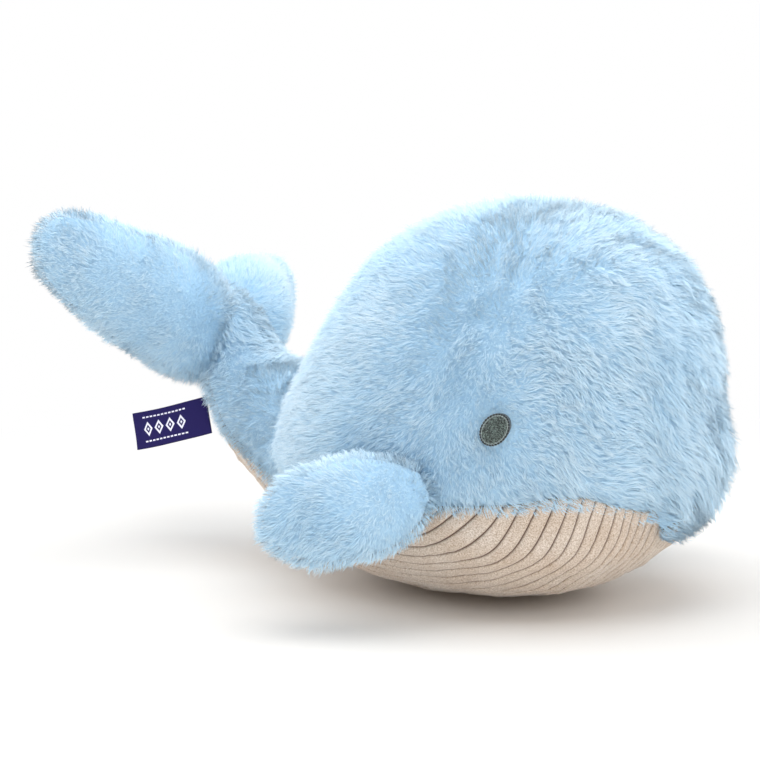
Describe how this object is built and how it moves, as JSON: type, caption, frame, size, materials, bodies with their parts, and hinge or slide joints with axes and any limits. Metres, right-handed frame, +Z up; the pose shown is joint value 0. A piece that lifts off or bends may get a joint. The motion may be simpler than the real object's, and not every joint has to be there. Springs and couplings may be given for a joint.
{
  "type": "plush whale",
  "caption": "Plush whale with a round fur body, corduroy belly, embroidered eyes, paddle flippers, an upturned tail with flukes and a folded side label.",
  "frame": {"origin": "centre of the flat patch of the belly that the whale rests on", "axes": "+X forward towards the nose, +Y towards the whale's left, +Z up"},
  "size_m": [0.3508, 0.2854, 0.194],
  "materials": {
    "side_fur": "long soft plush pile",
    "limb_fur": "long soft plush pile",
    "belly_corduroy": "wide-wale corduroy",
    "filling": "loose polyester fibre",
    "eye_thread": "satin-stitched thread",
    "label_tape": "woven tape"
  },
  "bodies": {
    "main_body": {"right_side_panel": "side_fur", "left_side_panel": "side_fur", "belly_panel": "belly_corduroy", "body_filling": "filling", "right_eye": "eye_thread", "left_eye": "eye_thread"},
    "tail": {"tail_right_panel": "side_fur", "tail_left_panel": "side_fur", "tail_belly_strip": "belly_corduroy", "tail_filling": "filling"},
    "right_fluke": {"right_fluke_front_panel": "limb_fur", "right_fluke_back_panel": "limb_fur", "right_fluke_filling": "filling"},
    "left_fluke": {"left_fluke_front_panel": "limb_fur", "left_fluke_back_panel": "limb_fur", "left_fluke_filling": "filling"},
    "right_flipper": {"right_flipper_outer_panel": "limb_fur", "right_flipper_inner_panel": "limb_fur", "right_flipper_filling": "filling"},
    "left_flipper": {"left_flipper_outer_panel": "limb_fur", "left_flipper_inner_panel": "limb_fur", "left_flipper_filling": "filling"},
    "label": {"side_label": "label_tape"}
  },
  "joints": [
    {"name": "tail_flex", "type": "hinge", "parent": "main_body", "child": "tail", "pos_m": [-0.09757, 0, 0.058], "axis": [0, 1, 0], "range_deg": [-18, 12], "stiffness_Nm_per_rad": 1.2},
    {"name": "right_fluke_flex", "type": "hinge", "parent": "tail", "child": "right_fluke", "pos_m": [-0.18097, -0.02487, 0.12126], "axis": [0.0512, -0.2079, -0.9768], "range_deg": [-22, 22], "stiffness_Nm_per_rad": 0.2},
    {"name": "left_fluke_flex", "type": "hinge", "parent": "tail", "child": "left_fluke", "pos_m": [-0.17848, 0.02681, 0.11039], "axis": [0.0512, -0.2079, -0.9768], "range_deg": [-22, 22], "stiffness_Nm_per_rad": 0.2},
    {"name": "right_flipper_flap", "type": "hinge", "parent": "main_body", "child": "right_flipper", "pos_m": [0.03308, -0.10143, 0.06145], "axis": [-0.5, 0, 0.866], "range_deg": [0, 60], "stiffness_Nm_per_rad": 0.15},
    {"name": "left_flipper_flap", "type": "hinge", "parent": "main_body", "child": "left_flipper", "pos_m": [0.03308, 0.10143, 0.06145], "axis": [0.5, 0, -0.866], "range_deg": [0, 60], "stiffness_Nm_per_rad": 0.15},
    {"name": "label_flap", "type": "hinge", "parent": "tail", "child": "label", "pos_m": [-0.16364, -0.02626, 0.07216], "axis": [0.3291, -0.1744, -0.928], "range_deg": [-50, 50], "stiffness_Nm_per_rad": 0.002}
  ]
}
